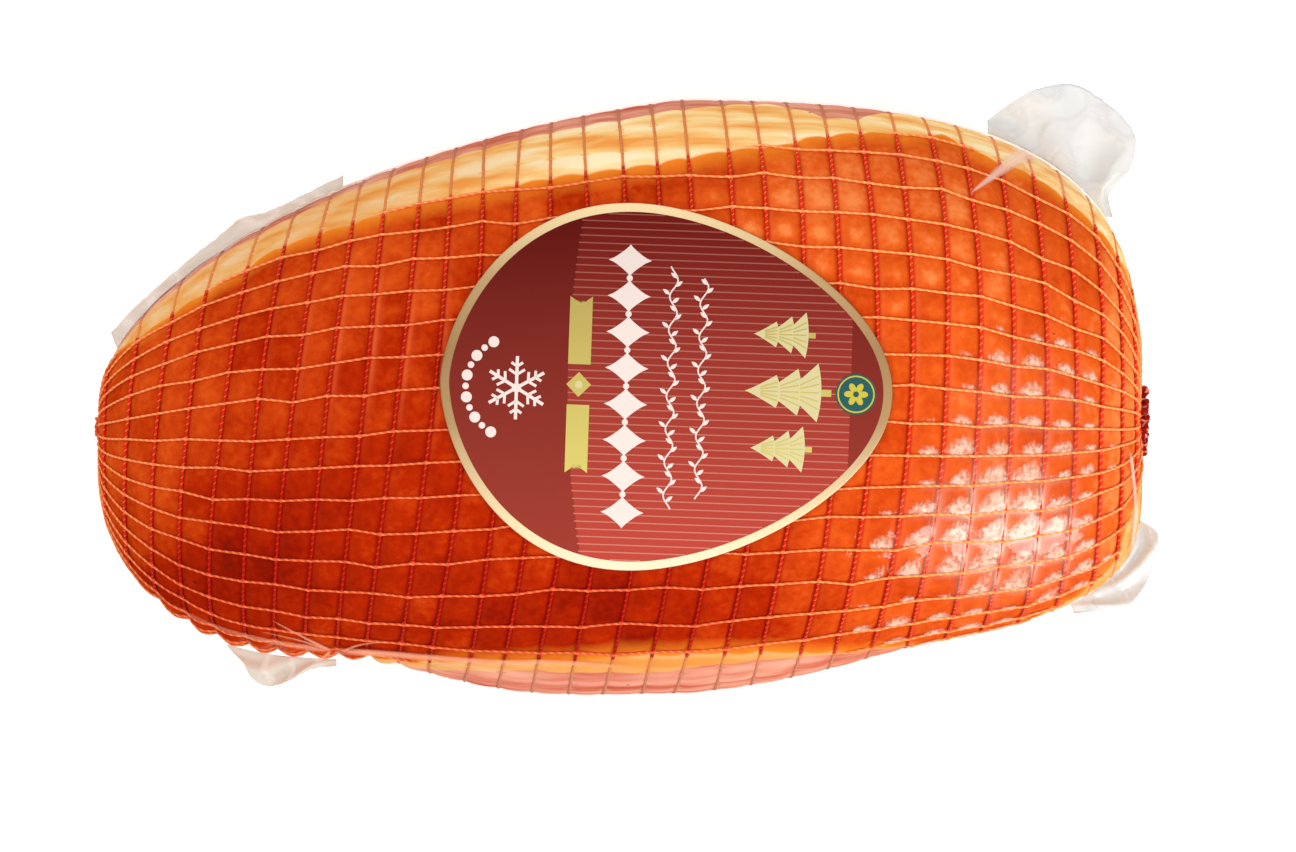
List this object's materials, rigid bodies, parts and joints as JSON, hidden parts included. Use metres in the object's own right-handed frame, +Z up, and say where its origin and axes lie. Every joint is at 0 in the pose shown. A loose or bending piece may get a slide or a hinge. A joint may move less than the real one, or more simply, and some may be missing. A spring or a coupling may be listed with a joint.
{
  "type": "netted smoked ham in shrink film",
  "caption": "Boneless smoked ham in elastic netting inside tight clear shrink film with loose corners and an egg-shaped label on top.",
  "frame": {"origin": "centre of the flat patch on which the ham rests, on the table plane", "axes": "+X along the ham towards its blunter end, +Y across it towards the edge with the wider band of fat, +Z up through the label"},
  "size_m": [0.3052, 0.1759, 0.1253],
  "materials": {
    "smoked_rind_in_film": "orange-brown smoked rind and pale fat seen through tight glossy film",
    "printed_label": "semi-gloss printed label with a pale gold rim",
    "clear_film": "crumpled clear film",
    "red_net_cord": "covered elastic cord"
  },
  "bodies": {
    "root": {"netted_ham": "smoked_rind_in_film", "label": "printed_label", "film_ear_back_right": "clear_film", "film_ear_front_right": "clear_film", "film_ear_front_left": "clear_film", "film_ear_back_left": "clear_film", "net_knot_right": "red_net_cord", "net_knot_left": "red_net_cord"}
  },
  "joints": []
}
